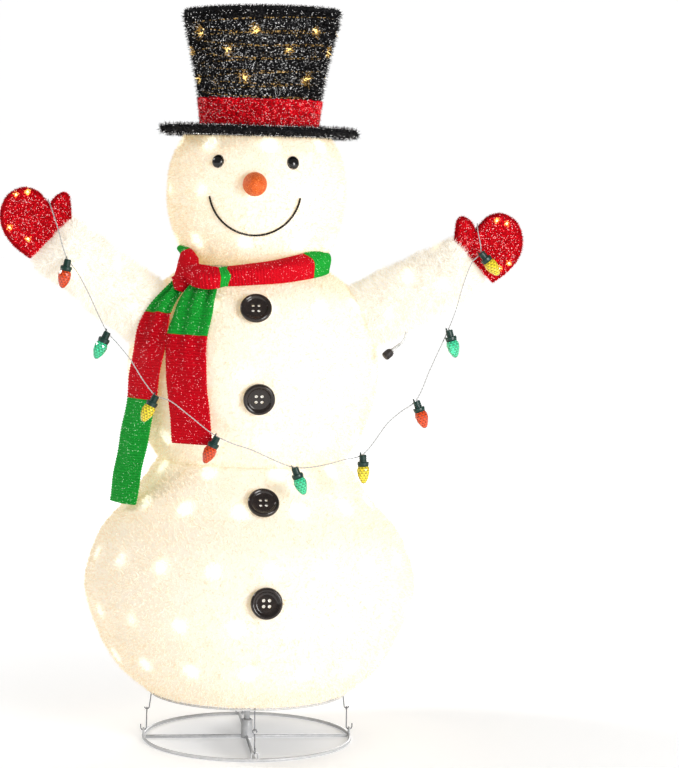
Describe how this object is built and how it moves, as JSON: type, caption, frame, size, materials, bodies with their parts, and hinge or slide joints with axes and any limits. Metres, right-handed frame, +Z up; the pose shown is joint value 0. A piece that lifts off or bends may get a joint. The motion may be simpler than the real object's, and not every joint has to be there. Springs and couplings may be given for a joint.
{
  "type": "inflatable yard snowman",
  "caption": "Pre-lit pop-up yard snowman: plush balls over spring wire on a telescoping pole, with top hat, scarf, mittens and a bulb garland.",
  "frame": {"origin": "on the ground under the pole, at the underside of the base hub", "axes": "+Z up along the pole, front of the snowman towards -Y, +X to the viewer's right from the front"},
  "size_m": [1.054, 0.6988, 1.5246],
  "materials": {
    "white_steel": "satin white paint",
    "galvanised": "zinc plated wire",
    "plush": "short white pile",
    "spring_wire": "bright spring wire",
    "light_wire": "clear insulated wire",
    "black_tinsel": "black tinsel with silver flecks",
    "red_tinsel": "red tinsel with glitter",
    "scarf_red": "red knit with glitter",
    "scarf_green": "green and red knit with glitter",
    "black_gloss": "polished",
    "nose_orange": "glitter coated",
    "mouth_cord": "twisted cord",
    "button_gloss": "polished",
    "garland_wire": "clear insulated twin wire",
    "bulb_red": "cut translucent lens",
    "bulb_green": "cut translucent lens",
    "bulb_yellow": "cut translucent lens",
    "connector_dark": "moulded"
  },
  "bodies": {
    "root": {"base_ring": "white_steel", "base_cross": "white_steel", "pole_lower": "white_steel", "bottom_hoop": "white_steel", "lower_body": "plush", "spring_lower": "spring_wire", "lights_lower": "light_wire", "hook_link_front": "galvanised", "hook_link_right": "galvanised", "hook_link_back": "galvanised", "hook_link_left": "galvanised", "base_hook_front": "galvanised", "base_hook_right": "galvanised", "base_hook_back": "galvanised", "base_hook_left": "galvanised"},
    "pole_mid": {"pole_middle": "white_steel"},
    "waist": {"waist_hoop": "white_steel", "upper_body": "plush", "spring_upper": "spring_wire", "lights_upper": "light_wire"},
    "neck": {"head": "plush", "spring_head": "spring_wire", "lights_head": "light_wire", "mouth": "mouth_cord", "scarf_loop": "scarf_red", "scarf_knot": "scarf_red", "scarf_tail_left": "scarf_green", "scarf_tail_right": "scarf_green"},
    "hat": {"hat_brim": "black_tinsel", "hat_crown": "black_tinsel", "hat_band": "red_tinsel", "hat_spring": "spring_wire", "lights_hat": "light_wire"},
    "hat_top": {"hat_lid": "black_tinsel", "pole_upper": "white_steel"},
    "shoulders": {"sleeve_left": "plush", "sleeve_right": "plush", "arm_spring_left": "spring_wire", "arm_spring_right": "spring_wire", "mitten_left": "red_tinsel", "mitten_right": "red_tinsel", "arm_lead": "light_wire", "arm_connector": "connector_dark", "garland_bulb_1": "bulb_red", "garland_bulb_9": "bulb_yellow"},
    "garland_sides": {"garland_bulb_2": "bulb_green", "garland_bulb_8": "bulb_green"},
    "garland": {"garland_cord": "garland_wire", "garland_bulb_3": "bulb_yellow", "garland_bulb_4": "bulb_red", "garland_bulb_5": "bulb_green", "garland_bulb_6": "bulb_yellow", "garland_bulb_7": "bulb_red"},
    "button_1_seat": {"button_1": "button_gloss"},
    "button_2_seat": {"button_2": "button_gloss"},
    "button_3_seat": {"button_3": "button_gloss"},
    "button_4_seat": {"button_4": "button_gloss"},
    "eyes": {"eye_left": "black_gloss", "eye_right": "black_gloss"},
    "nose_seat": {"nose": "nose_orange"}
  },
  "joints": [
    {"name": "collapse", "type": "slide", "parent": "root", "child": "waist", "axis": [0, 0, -1], "range_m": [0, 0.3114], "deforming": ["lower_body", "spring_lower", "lights_lower"]},
    {"name": "pole_telescope", "type": "slide", "parent": "root", "child": "pole_mid", "axis": [0, 0, -1], "range_m": [0, 0.4555]},
    {"name": "neck_drop", "type": "slide", "parent": "waist", "child": "neck", "axis": [0, 0, -1], "range_m": [0, 0.2605], "deforming": ["upper_body", "spring_upper", "lights_upper", "scarf_loop", "scarf_knot", "scarf_tail_left", "scarf_tail_right"]},
    {"name": "hat_drop", "type": "slide", "parent": "neck", "child": "hat", "axis": [0, 0, -1], "range_m": [0, 0.1786], "deforming": ["head", "spring_head", "lights_head", "mouth"]},
    {"name": "hat_lid_drop", "type": "slide", "parent": "hat", "child": "hat_top", "axis": [0, 0, -1], "range_m": [0, 0.161], "deforming": ["hat_crown", "hat_band", "hat_spring", "lights_hat"]},
    {"name": "arms_drop", "type": "slide", "parent": "waist", "child": "shoulders", "axis": [0, 0, -1], "range_m": [0, 0.2013]},
    {"name": "garland_lift", "type": "slide", "parent": "shoulders", "child": "garland", "axis": [0, 0, 1], "range_m": [0, 0.241], "deforming": ["garland_cord"]},
    {"name": "garland_sides_lift", "type": "slide", "parent": "shoulders", "child": "garland_sides", "axis": [0, 0, 1], "range_m": [0, 0.1127]},
    {"name": "button_1_drop", "type": "slide", "parent": "waist", "child": "button_1_seat", "axis": [0, 0, -1], "range_m": [0, 0.2092]},
    {"name": "button_2_drop", "type": "slide", "parent": "waist", "child": "button_2_seat", "axis": [0, 0, -1], "range_m": [0, 0.0954]},
    {"name": "button_3_drop", "type": "slide", "parent": "root", "child": "button_3_seat", "axis": [0, 0, -1], "range_m": [0, 0.2696]},
    {"name": "button_4_drop", "type": "slide", "parent": "root", "child": "button_4_seat", "axis": [0, 0, -1], "range_m": [0, 0.152]},
    {"name": "eyes_drop", "type": "slide", "parent": "neck", "child": "eyes", "axis": [0, 0, -1], "range_m": [0, 0.1436]},
    {"name": "nose_drop", "type": "slide", "parent": "neck", "child": "nose_seat", "axis": [0, 0, -1], "range_m": [0, 0.109]}
  ],
  "couplings": [
    {"joint": "pole_telescope", "follows": "collapse", "ratio": 1.4611},
    {"joint": "neck_drop", "follows": "collapse", "ratio": 0.83494},
    {"joint": "hat_drop", "follows": "collapse", "ratio": 0.57193},
    {"joint": "hat_lid_drop", "follows": "collapse", "ratio": 0.51557},
    {"joint": "arms_drop", "follows": "collapse", "ratio": 0.64499},
    {"joint": "garland_lift", "follows": "collapse", "ratio": 0.77232},
    {"joint": "garland_sides_lift", "follows": "collapse", "ratio": 0.36031},
    {"joint": "button_1_drop", "follows": "collapse", "ratio": 0.67004},
    {"joint": "button_2_drop", "follows": "collapse", "ratio": 0.30475},
    {"joint": "button_3_drop", "follows": "collapse", "ratio": 0.86416},
    {"joint": "button_4_drop", "follows": "collapse", "ratio": 0.48635},
    {"joint": "eyes_drop", "follows": "collapse", "ratio": 0.4597},
    {"joint": "nose_drop", "follows": "collapse", "ratio": 0.34859}
  ]
}
